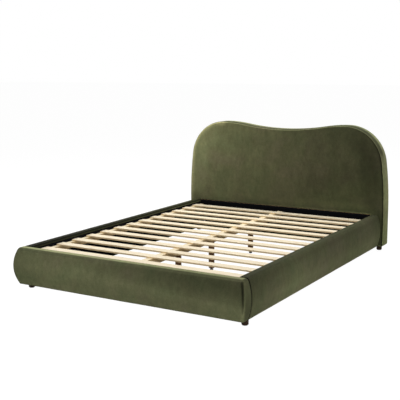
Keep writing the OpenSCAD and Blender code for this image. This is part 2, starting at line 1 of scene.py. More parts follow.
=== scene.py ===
"""Looks for an upholstered double bed frame, in metres, in the CAD model's frame."""
import math

import bmesh
import bpy
import numpy as np
from mathutils import Matrix, Vector, noise
from mathutils.geometry import delaunay_2d_cdt


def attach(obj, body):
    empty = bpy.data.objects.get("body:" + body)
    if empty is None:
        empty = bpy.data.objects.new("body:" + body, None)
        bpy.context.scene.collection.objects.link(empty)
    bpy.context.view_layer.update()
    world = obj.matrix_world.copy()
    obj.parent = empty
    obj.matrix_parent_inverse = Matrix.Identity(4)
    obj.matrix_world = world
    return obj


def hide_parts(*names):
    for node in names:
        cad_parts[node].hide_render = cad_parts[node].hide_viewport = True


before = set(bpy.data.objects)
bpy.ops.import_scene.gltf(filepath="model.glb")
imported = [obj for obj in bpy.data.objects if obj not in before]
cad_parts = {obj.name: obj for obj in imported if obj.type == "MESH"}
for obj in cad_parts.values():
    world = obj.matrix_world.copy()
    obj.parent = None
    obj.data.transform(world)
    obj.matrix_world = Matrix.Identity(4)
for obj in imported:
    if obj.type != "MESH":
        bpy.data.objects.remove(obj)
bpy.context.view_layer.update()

MM = 0.001
QUARTER = math.pi / 2

# Sizes of the frame in millimetres, as the CAD model has them
MATTRESS_W, MATTRESS_L, SIDE_GAP, END_GAP = 1400, 2000, 18, 5
RAIL_LIFT, RAIL_H, RAIL_T, FOOT_T = 35, 230, 58, 58
SIDE_BULGE, FOOT_BULGE = 24, 30
TOP_R, INNER_R, BOTTOM_R, CORNER_R = 20, 14, 8, 16
HEAD_OVER, HEAD_H, HEAD_T = 41, 904, 114
SHOULDER_R, SIDE_Z, SIDE_R, CREST_R, DIP = 290, 300, 2700, 1055, 43
HEAD_EDGE_R, BACK_R, HEAD_BOTTOM_R, HEAD_CROWN = 12, 8, 14, 6
HEM, BACK_TURN, LINING_DROP = 11, 34, 1
FIT = 0.3
SLAT_N = 13

X_IN = MATTRESS_W / 2 + SIDE_GAP
HALF_W = X_IN + RAIL_T
INNER_L = MATTRESS_L + 2 * END_GAP
OVERALL_L = FOOT_BULGE + FOOT_T + INNER_L + HEAD_T
X_HEAD = HALF_W + HEAD_OVER
Y_FOOT = FOOT_BULGE - OVERALL_L / 2
Y_IN = Y_FOOT + FOOT_T
Y_HEAD = Y_IN + INNER_L
Y_BACK = Y_HEAD + HEAD_T
RAIL_TOP = RAIL_LIFT + RAIL_H
Z_MID = RAIL_LIFT + RAIL_H / 2
LINING_TOP = RAIL_TOP - INNER_R - LINING_DROP
LINING_BOTTOM = RAIL_LIFT + HEM
STRIP_BOTTOM = RAIL_LIFT + HEAD_EDGE_R + 3

# Outline of the headboard, from the middles and radii of its curves
SHOULDER_Z = HEAD_H - SHOULDER_R
SIDE_X = X_HEAD - SIDE_R
SHOULDER_X = SIDE_X + math.sqrt((SIDE_R - SHOULDER_R) ** 2 - (SHOULDER_Z - SIDE_Z) ** 2)
SIDE_A = math.atan2(SHOULDER_Z - SIDE_Z, SHOULDER_X - SIDE_X)
WAVE_SPAN = (SHOULDER_X ** 2 + DIP ** 2) / (2 * DIP)
DIP_R = WAVE_SPAN - CREST_R
WAVE_A = math.atan2(SHOULDER_X, WAVE_SPAN - DIP)

# Sizes that only the upholstery has: the roll at its seams, the recess under each lining, the roll round
# the lining strip's opening, and the length over which the cloth's unevenness grows from a seam
SEAM_R, RECESS, LIP_R, FADE = 6, 2.4, 9, 30

# Camera at the photograph's viewing angle
CAMERA_AT = (2.721227, -4.714336, 1.376245)
CAMERA_YAW, CAMERA_PITCH, CAMERA_ROLL = 31.147, 9.531, -0.385
CAMERA_FOCAL_PX, IMAGE_PX, SENSOR_MM = 827.789, 400, 36


def add_object(name, data):
    obj = bpy.data.objects.new(name, data)
    bpy.context.scene.collection.objects.link(obj)
    return obj


def make_camera():
    yaw, pitch, roll = (math.radians(v) for v in (CAMERA_YAW, CAMERA_PITCH, CAMERA_ROLL))
    ahead = Vector((-math.sin(yaw) * math.cos(pitch), math.cos(yaw) * math.cos(pitch), -math.sin(pitch)))
    right = Vector((math.cos(yaw), math.sin(yaw), 0))
    up = right.cross(ahead)
    right, up = (right * math.cos(roll) + up * math.sin(roll),
                 up * math.cos(roll) - right * math.sin(roll))
    data = bpy.data.cameras.new("camera")
    data.sensor_width = SENSOR_MM
    data.sensor_fit = "HORIZONTAL"
    data.lens = CAMERA_FOCAL_PX / IMAGE_PX * SENSOR_MM
    data.clip_start, data.clip_end = 0.05, 200
    obj = add_object("camera", data)
    turn = Matrix((right, up, -ahead)).transposed().to_4x4()
    obj.matrix_world = Matrix.Translation(CAMERA_AT) @ turn
    bpy.context.scene.camera = obj


make_camera()


# Shaping helpers, in millimetres

def smooth(t):
    """0 up to 0, 1 from 1 on, and an even rise between."""
    t = min(max(t, 0.0), 1.0)
    return t * t * (3 - 2 * t)


def wobble(p, size, seed):
    """Smooth noise from about -1 to 1 at a point, with waves about size long."""
    return noise.noise(Vector(p) / size + Vector((seed * 7.3, seed * 3.1, seed * 5.7)))


def quarter(n):
    """Angles from 0 to a quarter turn, in n steps."""
    return [QUARTER * k / n for k in range(n + 1)]


def arc(x, z, r, angles):
    """Points at a radius and angles round a middle at x and z."""
    return [(x + r * math.cos(a), z + r * math.sin(a)) for a in angles]


def along(p, q, n):
    """n points between p and q, with neither end."""
    return [tuple(p[i] + (q[i] - p[i]) * k / (n + 1) for i in range(len(p))) for k in range(1, n + 1)]


def at_y(outline, y):
    return [(x, y, z) for x, z in outline]


def loft(rings, cap_last=True):
    """Faces between closed rings of the same number of points, closed at the first and perhaps the last."""
    n = len(rings[0])
    verts = [p for r in rings for p in r]
    faces = []
    for i in range(len(rings) - 1):
        a, b = i * n, (i + 1) * n
        faces += [(a + j, a + (j + 1) % n, b + (j + 1) % n, b + j) for j in range(n)]
    faces.append(tuple(range(n - 1, -1, -1)))
    if cap_last:
        faces.append(tuple(range((len(rings) - 1) * n, len(rings) * n)))
    return verts, faces


def make(name, verts, faces):
    """A smooth mesh object, in metres, from points in millimetres."""
    mesh = bpy.data.meshes.new(name)
    mesh.from_pydata([tuple(c * MM for c in v) for v in verts], [], faces)
    mesh.validate()
    mesh.update()
    mesh.polygons.foreach_set("use_smooth", [True] * len(mesh.polygons))
    return add_object(name, mesh)


def outward(obj):
    """Turns all the faces of a closed mesh outward."""
    bm = bmesh.new()
    bm.from_mesh(obj.data)
    bmesh.ops.recalc_face_normals(bm, faces=bm.faces)
    bm.to_mesh(obj.data)
    bm.free()
    return obj


def near_line(points, line):
    """Distance from each point to a closed line, both as arrays of x and z."""
    a, b = line, np.roll(line, -1, axis=0)
    d = b - a
    best = np.full(len(points), 1e9)
    for p0, dv in zip(a, d):
        t = np.clip(((points - p0) @ dv) / max(float(dv @ dv), 1e-9), 0, 1)
        best = np.minimum(best, np.hypot(*(points - p0 - t[:, None] * dv).T))
    return best


def inside_line(points, line):
    """Which points lie inside a closed line, both as arrays of x and z."""
    inside = np.zeros(len(points), bool)
    for (x0, z0), (x1, z1) in zip(line, np.roll(line, -1, axis=0)):
        cross = (z0 > points[:, 1]) != (z1 > points[:, 1])
        if abs(z1 - z0) > 1e-9:
            inside ^= cross & (points[:, 0] < (x1 - x0) * (points[:, 1] - z0) / (z1 - z0) + x0)
    return inside


def triangulate(points, edges):
    """Fills a flat outline with triangles. Gives the points, the faces and each point's sources."""
    made, _, faces, sources, _, _ = delaunay_2d_cdt([Vector(p) for p in points], edges, [], 1, 1e-4)
    return np.array([tuple(p) for p in made]), faces, sources


# Outlines of the rails and the footboard

def swell_r(b):
    """Radius of the arc that swells by b at the middle of the rails' height."""
    return ((RAIL_H / 2) ** 2 + b * b) / (2 * b)


def foot_swell(z):
    """How far the footboard's front swells forward at a height."""
    r = swell_r(FOOT_BULGE)
    return math.sqrt(r * r - (z - Z_MID) ** 2) - r + FOOT_BULGE


def side_outline(i, lower=0.0, lift=0.0):
    """Side of the rails from the bottom up, inset by i: distance outward and height. lower and lift take
    off more at the top and at the bottom."""
    fillet_n, arc_n = 6, 22
    r, cx = swell_r(SIDE_BULGE) - i, SIDE_BULGE - swell_r(SIDE_BULGE)
    r0, r1 = max(BOTTOM_R - i, 1), max(TOP_R - i, 1)
    z0, z1 = RAIL_LIFT + i + lift + r0, RAIL_TOP - i - lower - r1
    x0 = cx + math.sqrt((r - r0) ** 2 - (z0 - Z_MID) ** 2)
    x1 = cx + math.sqrt((r - r1) ** 2 - (z1 - Z_MID) ** 2)
    a0, a1 = math.atan2(z0 - Z_MID, x0 - cx), math.atan2(z1 - Z_MID, x1 - cx)
    low = [-QUARTER + (a0 + QUARTER) * k / fillet_n for k in range(fillet_n + 1)]
    mid = [a0 + (a1 - a0) * k / arc_n for k in range(1, arc_n)]
    top = [a1 + (QUARTER - a1) * k / fillet_n for k in range(fillet_n + 1)]
    return arc(x0, z0, r0, low) + arc(cx, Z_MID, r, mid) + arc(x1, z1, r1, top)


def rail_section(i):
    """Section of a rail's upholstery, inset by i, with the recess for its lining."""
    rt, rb = max(INNER_R - i, 1), max(BOTTOM_R - i, 1)
    outer = [(RAIL_T + x, z) for x, z in side_outline(i)]
    top = arc(i + rt, RAIL_TOP - i - rt, rt, [QUARTER + a for a in quarter(5)])
    bottom = arc(i + rb, RAIL_LIFT + i + rb, rb, [2 * QUARTER + a for a in quarter(4)])
    inner = [(i, LINING_TOP), (i + RECESS, LINING_TOP), (i + RECESS, LINING_BOTTOM), (i, LINING_BOTTOM)]
    return outer + along(outer[-1], top[0], 3) + top + inner + bottom + along(bottom[-1], outer[0], 3)


def foot_outline(i, lower=0.0, lift=0.0):
    """Outline of the footboard seen from the front, inset by i."""
    across_n = 110
    side = side_outline(i, lower, lift)
    right = [(HALF_W + x, z) for x, z in side]
    left = [(-HALF_W - x, z) for x, z in reversed(side)]
    return right + along(right[-1], left[0], across_n) + left + along(left[-1], right[0], across_n)


def foot_window(gap=0.0):
    """Edge of the recess for the footboard's lining, inset by a gap."""
    inset = HEM - 1
    return foot_outline(inset + gap, RAIL_TOP - LINING_TOP - inset, 1)


def head_outline(i, zb):
    """Outline of the headboard, inset by i, with its bottom edge at the height zb."""
    straight_n, side_n, shoulder_n, crest_n, dip_n, floor_n = 12, 16, 34, 14, 34, 40
    rb = max(HEAD_BOTTOM_R - i, 1)
    start = zb + rb
    right = arc(X_HEAD - i - rb, start, rb, [-QUARTER + a for a in quarter(5)])
    right += [(X_HEAD - i, start + (SIDE_Z - start) * k / straight_n) for k in range(1, straight_n)]
    right += arc(SIDE_X, SIDE_Z, SIDE_R - i, [SIDE_A * k / side_n for k in range(side_n + 1)])
    right += arc(SHOULDER_X, SHOULDER_Z, SHOULDER_R - i,
                 [SIDE_A + (QUARTER - SIDE_A) * k / shoulder_n for k in range(1, shoulder_n + 1)])
    right += arc(SHOULDER_X, HEAD_H - CREST_R, CREST_R - i,
                 [QUARTER + WAVE_A * k / crest_n for k in range(1, crest_n + 1)])
    dips = [WAVE_A * (1 - 2 * k / dip_n) for k in range(1, dip_n)]
    dip = [((DIP_R + i) * math.sin(a), HEAD_H - DIP + DIP_R - (DIP_R + i) * math.cos(a)) for a in dips]
    left = [(-x, z) for x, z in reversed(right)]
    return right + dip + left + along(left[-1], right[0], floor_n)


# Material helpers

def empty_tree(owner, output):
    """Node tree of a material or a world, with its output node alone."""
    owner.use_nodes = True
    tree = owner.node_tree
    tree.nodes.clear()
    return tree, tree.nodes.new(output)


def new_material(name):
    mat = bpy.data.materials.new(name)
    tree, out = empty_tree(mat, "ShaderNodeOutputMaterial")
    shader = tree.nodes.new("ShaderNodeBsdfPrincipled")
    tree.links.new(shader.outputs[0], out.inputs[0])
    return mat, tree, shader


def node(tree, kind, **values):
    """A new node with values for its sockets and, where no socket has the name, its settings."""
    made = tree.nodes.new(kind)
    for key, value in values.items():
        if key in made.inputs:
            made.inputs[key].default_value = value
        else:
            setattr(made, key, value)
    return made


def coordinates(tree, scale=(1, 1, 1)):
    """Object coordinates, which are metres in the frame's axes, stretched by scale."""
    where = tree.nodes.new("ShaderNodeTexCoord")
    mapping = tree.nodes.new("ShaderNodeMapping")
    mapping.inputs["Scale"].default_value = scale
    tree.links.new(where.outputs["Object"], mapping.inputs["Vector"])
    return mapping.outputs[0]


def split(tree, vector):
    """X, Y and Z of a vector."""
    parts = tree.nodes.new("ShaderNodeSeparateXYZ")
    tree.links.new(vector, parts.inputs[0])
    return parts.outputs


def surface_normal(tree):
    return split(tree, tree.nodes.new("ShaderNodeNewGeometry").outputs["Normal"])


def noise_value(tree, vector, scale, detail=3.0, roughness=0.55, distortion=0.0):
    """Noise from 0 to 1, with scale in waves to the metre."""
    made = node(tree, "ShaderNodeTexNoise", Scale=scale, Detail=detail, Roughness=roughness,
                Distortion=distortion)
    tree.links.new(vector, made.inputs["Vector"])
    return made.outputs["Fac"]


def ramp(tree, value, stops):
    """A colour that follows a value from 0 to 1 through stops, each a value and its grey or its colour."""
    made = tree.nodes.new("ShaderNodeValToRGB")
    element = made.color_ramp.elements
    while len(element) < len(stops):
        element.new(0.5)
    for e, (place, colour) in zip(element, stops):
        e.position = place
        e.color = (*(colour if isinstance(colour, tuple) else (colour,) * 3), 1)
    tree.links.new(value, made.inputs[0])
    return made.outputs[0]


def profile(tree, value, stops):
    """The same for a value of any range."""
    low, high = stops[0][0], stops[-1][0]
    spread = node(tree, "ShaderNodeMapRange", **{"From Min": low, "From Max": high})
    tree.links.new(value, spread.inputs["Value"])
    return ramp(tree, spread.outputs[0], [((v - low) / (high - low), c) for v, c in stops])


def set_or_link(tree, socket, value):
    """Gives a socket its value: another socket, a colour or a number."""
    if isinstance(value, bpy.types.NodeSocket):
        tree.links.new(value, socket)
    elif isinstance(value, tuple):
        socket.default_value = (*value, 1)
    else:
        socket.default_value = value


def mix(tree, kind, factor, a, b):
    """Mixes two colours. factor, a and b are sockets or values."""
    made = tree.nodes.new("ShaderNodeMix")
    made.data_type = "RGBA"
    made.blend_type = kind
    for socket, value in ((made.inputs[0], factor), (made.inputs[6], a), (made.inputs[7], b)):
        set_or_link(tree, socket, value)
    return made.outputs[2]


def times(tree, colour, *shades):
    """A colour multiplied by each shade in turn."""
    for shade in shades:
        colour = mix(tree, "MULTIPLY", 1.0, colour, shade)
    return colour


def maths(tree, kind, *values):
    made = tree.nodes.new("ShaderNodeMath")
    made.operation = kind
    for socket, value in zip(made.inputs, values):
        set_or_link(tree, socket, value)
    return made.outputs[0]


def bump(tree, height, strength, distance, under=None):
    """A normal that follows a height, distance in metres, on top of the normal under it."""
    made = node(tree, "ShaderNodeBump", Strength=strength, Distance=distance)
    tree.links.new(height, made.inputs["Height"])
    if under is not None:
        tree.links.new(under, made.inputs["Normal"])
    return made.outputs[0]


def finish_shader(tree, shader, colour, normal, **values):
    """Links a colour and a normal to a shader, and sets its sockets that are the same all over."""
    tree.links.new(colour, shader.inputs["Base Color"])
    tree.links.new(normal, shader.inputs["Normal"])
    for key, value in values.items():
        shader.inputs[key.replace("_", " ")].default_value = value


# Velvet

# Painted shade on the padding where it faces the mattress, and on the headboard where it faces backward
PAINTED_SHADE_TOWARD_MATTRESS = ((0.05, 1.0), (0.55, 0.45))
PAINTED_SHADE_TOWARD_BACK = ((0.2, 1.0), (0.7, 0.3))


def past_shoulder(tree, place):
    """Distance from the middle of the headboard's left shoulder curve. It falls off toward the middle of
    the bed, so that a painted highlight by it ends there, and below the curve, where the side flares
    outward."""
    fall_off, flare = 0.7, 0.059
    x = maths(tree, "ADD", place[0], SHOULDER_X * MM)
    z = maths(tree, "SUBTRACT", place[2], SHOULDER_Z * MM)
    both = tree.nodes.new("ShaderNodeCombineXYZ")
    tree.links.new(maths(tree, "MINIMUM", x, 0.0), both.inputs[0])
    tree.links.new(maths(tree, "MAXIMUM", z, 0.0), both.inputs[1])
    reach = node(tree, "ShaderNodeVectorMath", operation="LENGTH")
    tree.links.new(both.outputs[0], reach.inputs[0])
    beyond = maths(tree, "MULTIPLY", maths(tree, "MAXIMUM", x, 0.0), fall_off)
    below = maths(tree, "MULTIPLY", maths(tree, "MINIMUM", z, 0.0), -flare)
    return maths(tree, "SUBTRACT", maths(tree, "SUBTRACT", reach.outputs["Value"], beyond), below)


def velvet_material(name, tops, painted_sheen, painted_light_gradient, seams, inward=0, inner=PAINTED_SHADE_TOWARD_MATTRESS, low=None,
                    ends_only=False, shoulder=None, rolled=None, sheen=0.10):
    """Olive velvet: a short pile in random patches, with light and shade painted into its colour. slants
    gives its painted sheen, from the pile seen end on, dark, to the pile seen at a slant, pale. tops gives
    painted light and shade for surfaces that face down, sideways and up. brushed is a direction and the
    painted light and shade along it. seams is painted shade along Y in the crease beside a seam, on the
    headboard with painted light along its edge, for the ends of the piece alone with ends_only, and
    shoulder is the same for faces that look upward. inward is a direction along X, for a rail that of its
    side toward the mattress, and inner the painted shade and light by how far a face looks along it. low
    is painted shade by the height, darker toward the bottom. rolled is a painted highlight on the padding
    that rolls over the headboard's left shoulder, by its distance from the middle of that curve, with
    painted shade on what faces backward."""
    mat, tree, shader = new_material(name)
    plain = coordinates(tree)
    place, normal = split(tree, plain), surface_normal(tree)
    patches = noise_value(tree, plain, 4.2, 3.0, 0.5, 0.6)
    streaks = noise_value(tree, coordinates(tree, (1, 1, 0.5)), 13, 4.0, 0.6, 0.4)
    clumps = noise_value(tree, coordinates(tree, (1, 1, 0.7)), 42, 4.0, 0.65)
    tufts = noise_value(tree, plain, 240, 3.0, 0.6)
    pile = noise_value(tree, plain, 900, 2.0, 0.6)
    base = ramp(tree, patches, [(0.30, (0.222, 0.245, 0.120)), (0.50, (0.242, 0.250, 0.126)),
                                (0.70, (0.262, 0.250, 0.140))])
    # Painted sheen: the viewing angle sets the colour, dark seen end on and pale at a slant
    slant = node(tree, "ShaderNodeLayerWeight", Blend=0.5).outputs["Facing"]
    colour = times(tree, base,
                   ramp(tree, streaks, [(0.25, 0.90), (0.75, 1.10)]),
                   ramp(tree, tufts, [(0.30, 0.86), (0.70, 1.12)]),
                   profile(tree, clumps, [(0.3, 0.87), (0.7, 1.13)]),
                   profile(tree, slant, painted_sheen),
                   # Painted light and shade by the way a surface faces
                   profile(tree, normal[2], tops))
    # Painted shade, on the left rail also painted light, by how far a face looks along X
    if inward:
        facing = maths(tree, "MULTIPLY", normal[0], float(inward))
        colour = times(tree, colour, profile(tree, facing, inner))
    # Painted light and shade along a direction
    direction, stops = painted_light_gradient
    across = node(tree, "ShaderNodeVectorMath", operation="DOT_PRODUCT")
    across.inputs[1].default_value = direction
    tree.links.new(plain, across.inputs[0])
    colour = times(tree, colour, profile(tree, across.outputs["Value"], stops))
    # Painted shade by height, darker toward the bottom
    if low:
        colour = times(tree, colour, profile(tree, place[2], low))
    # Painted highlight on the headboard's left shoulder, and painted shade on faces toward the back
    if rolled:
        ahead = profile(tree, normal[1], [(-0.5, 1.0), (-0.2, 0.0)])
        colour = mix(tree, "MULTIPLY", ahead, colour, profile(tree, past_shoulder(tree, place), rolled))
        colour = times(tree, colour, profile(tree, normal[1], PAINTED_SHADE_TOWARD_BACK))
    # Painted shade in the creases beside seams; on the headboard also painted light along its edge and top
    shade_and_light_along_y = profile(tree, place[1], seams)
    if ends_only:
        away = profile(tree, maths(tree, "ABSOLUTE", place[0]),
                       [(0, 1.0), ((HALF_W - 4) * MM, 1.0), (HALF_W * MM, 0.0)])
        shade_and_light_along_y = mix(tree, "LIGHTEN", 1.0, shade_and_light_along_y, away)
    if shoulder:
        turned = profile(tree, normal[2], [(0.1, 0.0), (0.35, 1.0)])
        shade_and_light_along_y = mix(tree, "MIX", turned, shade_and_light_along_y, profile(tree, place[1], shoulder))
    soft = bump(tree, streaks, 0.35, 0.004)
    fine = bump(tree, tufts, 0.30, 0.0012, soft)
    finish_shader(tree, shader, times(tree, colour, shade_and_light_along_y), bump(tree, pile, 0.35, 0.0006, fine),
                  Roughness=0.85, Specular_IOR_Level=0.05, Sheen_Weight=sheen, Sheen_Roughness=0.42,
                  Sheen_Tint=(0.62, 0.66, 0.42, 1))
    return mat


def from_y(start, *stops):
    """Stops along Y in metres, from distances in millimetres past a start."""
    return [((start + y) * MM, shade) for y, shade in stops]


ALONG_X, ALONG_Y, UP_AND_LEFT = (1, 0, 0), (0, 1, 0), (-0.35, 0, 1)

# Stops of painted sheen by the viewing angle
rail_painted_sheen = [(0, 0.14), (0.05, 0.34), (0.09, 0.54), (0.13, 0.78), (0.17, 1.0), (0.24, 1.12), (0.34, 0.98),
               (0.65, 0.72), (1.0, 0.72)]
# Painted shade at the rails' ends, in the creases where they meet the footboard and the headboard
rail_seam_shade = from_y(Y_IN, (0, 0.12), (3, 0.15), (9, 1.0)) + from_y(Y_HEAD, (-7, 1.0), (0, 0.3))
velvet = {
    "left": velvet_material(
        "olive_velvet_left_rail",
        tops=[(-0.4, 1.3), (0.0, 1.0), (0.3, 0.60), (0.6, 0.20), (1.0, 0.06)],
        painted_sheen=rail_painted_sheen[:-2] + [(0.65, 0.74), (0.85, (1.25, 1.2, 0.95)), (1.0, (3.6, 3.3, 1.6))],
        painted_light_gradient=(ALONG_Y, [(-1.0, 0.60), (-0.2, 1.05), (0.3, 1.6), (0.55, 2.1), (0.98, 2.4)]),
        seams=rail_seam_shade, inward=1,
        inner=[(-1.0, 0.5), (-0.85, 0.7), (-0.5, 3.0), (-0.25, 1.6), (0.05, 0.75), (0.3, 0.35),
               (0.7, 0.22)],
        sheen=0.02),
    "right": velvet_material(
        "olive_velvet_right_rail",
        tops=[(-0.4, 2.2), (-0.15, 1.9), (0.0, 1.3), (0.3, 0.57), (0.6, 0.41), (1.0, 0.22)],
        painted_sheen=rail_painted_sheen,
        painted_light_gradient=(ALONG_Y, [(-1.0, 0.60), (-0.78, 0.82), (-0.5, 1.12), (0.0, 1.0), (0.45, 1.0), (0.75, 1.18),
                           (0.92, 1.12), (0.99, 0.85)]),
        seams=rail_seam_shade, inward=-1),
    "foot": velvet_material(
        "olive_velvet_footboard",
        tops=[(-0.46, 1.06), (-0.25, 0.75), (-0.1, 0.68), (0.05, 0.645), (0.31, 0.485), (0.6, 0.30),
              (0.9, 0.27), (0.97, 0.44), (1.0, 1.02)],
        painted_sheen=[(0, 0.14), (0.05, 0.34), (0.09, 0.54), (0.13, 0.80), (0.17, 1.05), (0.22, 1.45),
                (0.28, 1.36), (0.44, 1.15), (0.65, 0.90), (1.0, 1.1)],
        painted_light_gradient=(ALONG_X, [(-0.8, 1.14), (-0.45, 1.24), (-0.2, 1.10), (0.1, 0.98), (0.5, 0.86),
                           (0.75, 0.94)]),
        seams=from_y(Y_IN, (-60, 1.0), (-8, 1.0), (-2, 0.2), (0, 0.12)), ends_only=True),
    "head": velvet_material(
        "olive_velvet_headboard",
        tops=[(-0.4, 0.60), (0.0, 0.56), (0.3, 0.52), (0.6, 0.40), (1.0, 0.17)],
        painted_sheen=[(0, 0.16), (0.05, 0.42), (0.09, 0.72), (0.13, 1.20), (0.17, 1.85), (0.24, 2.3), (0.34, 1.7),
                (0.65, 0.9), (1.0, 1.5)],
        painted_light_gradient=(UP_AND_LEFT, [(0.04, (1.60, 1.68, 1.54)), (0.2, (1.16, 1.20, 1.12)), (0.35, 0.91),
                               (0.5, 0.95), (0.65, 0.92), (0.8, 0.97), (1.05, (1.20, 1.16, 1.14))]),
        # Painted shade at the front seam, and painted light along the headboard's edge and top
        seams=from_y(Y_HEAD, (-12, 1.0), (1, 1.0), (3, 0.4), (5, 0.4), (9, 4.2), (HEAD_T, 6.4)),
        inward=1, inner=[(-1.0, 0.28), (-0.93, 0.5), (-0.85, 1.0), (1.0, 1.0)],
        low=[(0.28, 0.53), (0.37, 0.73), (0.50, 0.84), (0.64, 0.98), (0.80, 1.0)],
        shoulder=from_y(Y_HEAD, (-12, 1.0), (1, 1.0), (5, 0.8), (50, 0.9), (72, 3.4), (HEAD_T, 4.4)),
        rolled=[(0.245, 1.0), (0.257, 1.15), (0.264, 1.40), (0.272, (1.62, 1.58, 1.60)),
                (0.280, (2.0, 1.9, 1.9)), (0.290, (2.3, 2.2, 2.3))]),
}


# Lining, wood, plastic and steel

def lining_material():
    """Black non-woven lining with its embossed dots."""
    mat, tree, shader = new_material("black_lining")
    plain = coordinates(tree)
    fibres = noise_value(tree, plain, 420, 4.0, 0.7, 1.2)
    dots = node(tree, "ShaderNodeTexVoronoi", Scale=420.0, Randomness=0.25)
    tree.links.new(plain, dots.inputs["Vector"])
    tone = ramp(tree, fibres, [(0.3, (0.0025, 0.0026, 0.0031)), (0.7, (0.0055, 0.0058, 0.0068))])
    creases = bump(tree, noise_value(tree, plain, 9, 3.0, 0.5, 0.5), 0.3, 0.004)
    fine = bump(tree, fibres, 0.4, 0.0006, creases)
    finish_shader(tree, shader, tone, bump(tree, dots.outputs["Distance"], 0.35, 0.0005, fine),
                  Roughness=1.0, Specular_IOR_Level=0.03)
    return mat


def wood_material(name, along_axis, pale, dark, grain=0.8, knots=0.75, sawn_tint_and_shade=(1.0, 0.88, 0.68),
                  roughness=0.62):
    """Wood with its grain along one axis: 0 for X, 1 for Y, 2 for Z. grain and knots are how strong they
    are, and sawn makes the faces that don't face up darker and yellower, partly the tone of cut wood and
    partly painted shade."""
    mat, tree, shader = new_material(name)

    def stretched(share):
        return coordinates(tree, tuple(share if i == along_axis else 1.0 for i in range(3)))

    def towards_dark(share):
        return tuple(p * (1 - share) + d * share for p, d in zip(pale, dark))
    long = stretched(0.045)
    rings = noise_value(tree, long, 26, 3.0, 0.55, 1.6)
    waves = maths(tree, "MULTIPLY_ADD", maths(tree, "SINE", maths(tree, "MULTIPLY", rings, 58.0)), 0.5, 0.5)
    fibre = noise_value(tree, long, 620, 3.0, 0.6)
    board = noise_value(tree, stretched(0.3), 3.1)
    tone = times(tree, ramp(tree, waves, [(0.0, pale), (0.62, towards_dark(0.035)),
                                          (1.0, towards_dark(0.30 * grain))]),
                 ramp(tree, board, [(0.3, 0.93), (0.7, 1.05)]),
                 ramp(tree, fibre, [(0.3, 0.94), (0.7, 1.04)]))
    if knots:
        spots = node(tree, "ShaderNodeTexVoronoi", Scale=6.5, Randomness=1.0)
        tree.links.new(stretched(0.55), spots.inputs["Vector"])
        mark = ramp(tree, spots.outputs["Distance"], [(0.035, 1.0), (0.075, 0.0)])
        tone = mix(tree, "MIX", maths(tree, "MULTIPLY", mark, knots), tone, dark)
    # Painted shade: faces that don't face up come out darker and yellower
    tone = times(tree, tone, profile(tree, surface_normal(tree)[2], [(-1, sawn_tint_and_shade), (0.4, sawn_tint_and_shade), (0.6, 1.0)]))
    finish_shader(tree, shader, tone, bump(tree, fibre, 0.25, 0.0004),
                  Roughness=roughness, Specular_IOR_Level=0.12)
    return mat


def ply_material():
    """Raw plywood, with its layers across the board's thickness."""
    mat, tree, shader = new_material("raw_ply")
    layers = noise_value(tree, coordinates(tree, (1, 1, 0.06)), 90, 2.0, 0.5)
    fibre = noise_value(tree, coordinates(tree, (0.05, 0.05, 1)), 420, 3.0, 0.6)
    tone = times(tree, ramp(tree, layers, [(0.35, (0.46, 0.30, 0.15)), (0.5, (0.62, 0.44, 0.25)),
                                           (0.65, (0.52, 0.35, 0.18))]),
                 ramp(tree, fibre, [(0.3, 0.9), (0.7, 1.06)]))
    finish_shader(tree, shader, tone, bump(tree, fibre, 0.2, 0.0005), Roughness=0.7)
    return mat


def plastic_material():
    """Black plastic of the glides and levelling feet, with a fine grain and scuffs."""
    mat, tree, shader = new_material("black_plastic")
    plain = coordinates(tree)
    scuff = noise_value(tree, plain, 60, 4.0, 0.7)
    tone = ramp(tree, scuff, [(0.35, (0.006, 0.006, 0.007)), (0.8, (0.016, 0.016, 0.017))])
    tree.links.new(ramp(tree, scuff, [(0.3, 0.42), (0.8, 0.62)]), shader.inputs["Roughness"])
    finish_shader(tree, shader, tone, bump(tree, noise_value(tree, plain, 1400, 2.0, 0.6), 0.25, 0.0002))
    return mat


def coated_steel_material():
    """Steel plate with a black powder coat."""
    mat, tree, shader = new_material("black_coated_steel")
    plain = coordinates(tree)
    tone = ramp(tree, noise_value(tree, plain, 40, 3.0, 0.6),
                [(0.3, (0.010, 0.010, 0.011)), (0.7, (0.018, 0.018, 0.019))])
    finish_shader(tree, shader, tone, bump(tree, noise_value(tree, plain, 900, 2.0, 0.5), 0.3, 0.0002),
                  Roughness=0.55, Specular_IOR_Level=0.3)
    return mat


def steel_material():
    """Zinc plated steel with its faint mottling."""
    mat, tree, shader = new_material("zinc_plated_steel")
    mottle = noise_value(tree, coordinates(tree), 130, 4.0, 0.65, 0.8)
    brush = noise_value(tree, coordinates(tree, (0.05, 1, 1)), 1500, 2.0, 0.5)
    tone = ramp(tree, mottle, [(0.3, (0.42, 0.43, 0.45)), (0.7, (0.60, 0.61, 0.62))])
    tree.links.new(ramp(tree, mottle, [(0.3, 0.30), (0.7, 0.44)]), shader.inputs["Roughness"])
    finish_shader(tree, shader, tone, bump(tree, brush, 0.12, 0.0002), Metallic=1.0)
    return mat


def stained_wood_material(name, pale, dark):
    """Stained wood of the legs, without knots."""
    return wood_material(name, 2, pale, dark, 1.0, 0.0, (1.0, 1.0, 1.0), 0.60)


lining = lining_material()
pine_x = wood_material("pine_across", 0, (0.82, 0.725, 0.545), (0.50, 0.28, 0.12))
